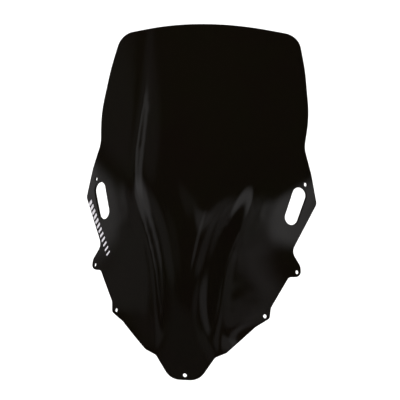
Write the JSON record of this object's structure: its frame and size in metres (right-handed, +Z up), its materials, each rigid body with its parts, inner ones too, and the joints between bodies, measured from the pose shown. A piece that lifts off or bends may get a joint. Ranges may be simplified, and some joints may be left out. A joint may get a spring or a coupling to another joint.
{
  "type": "windshield screen",
  "caption": "Formed smoked acrylic windshield screen with a raised centre, side wings with long air slots, and plain holes for its fixing screws.",
  "frame": {"origin": "centre of the bottom fixing hole, on the outer face of the panel", "axes": "+X to the rider's left as seen from the front (the viewer's right), +Y backwards towards the rider, +Z up, with the screen leaning back as it does on the machine"},
  "size_m": [0.3918, 0.3963, 0.4736],
  "materials": {
    "smoked_acrylic": "polished dark smoke, nearly opaque",
    "white_vinyl": "smooth cut film"
  },
  "bodies": {
    "root": {"screen_panel": "smoked_acrylic", "wing_decal": "white_vinyl"}
  },
  "joints": []
}
